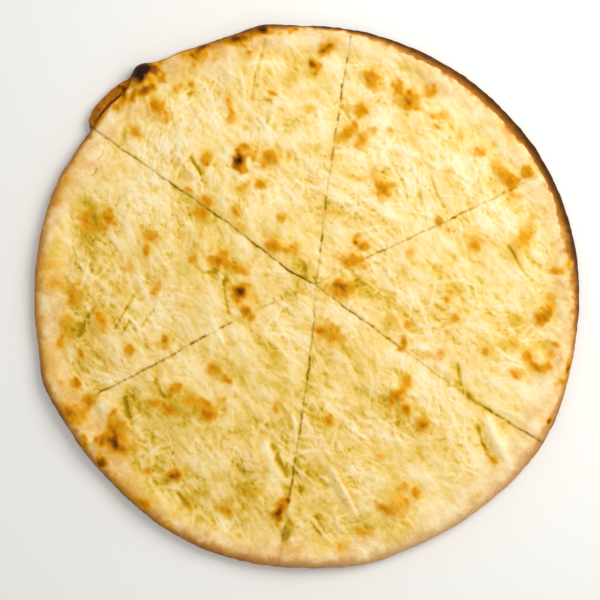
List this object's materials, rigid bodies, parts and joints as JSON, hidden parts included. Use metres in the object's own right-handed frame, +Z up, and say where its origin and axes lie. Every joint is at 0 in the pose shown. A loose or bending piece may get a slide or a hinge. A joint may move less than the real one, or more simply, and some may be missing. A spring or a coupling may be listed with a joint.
{
  "type": "focaccia",
  "caption": "Round flat focaccia with a melted cheese top, toasted blisters and a pale crust rim, cut into slices that still lie together.",
  "frame": {"origin": "on the flat underside, under the middle of the loaf", "axes": "+Z up out of the baked top, +X and +Y in the plane of the loaf, with the charred blister towards -X and +Y"},
  "size_m": [0.3232, 0.3229, 0.0134],
  "materials": {
    "baked_cheese_bread": "baked dough under melted cheese: cream to golden yellow, matte with an oily sheen, toasted brown spots"
  },
  "bodies": {
    "root": {"slice_1": "baked_cheese_bread", "slice_2": "baked_cheese_bread", "slice_3": "baked_cheese_bread", "slice_4": "baked_cheese_bread", "slice_5": "baked_cheese_bread", "slice_6": "baked_cheese_bread"}
  },
  "joints": []
}
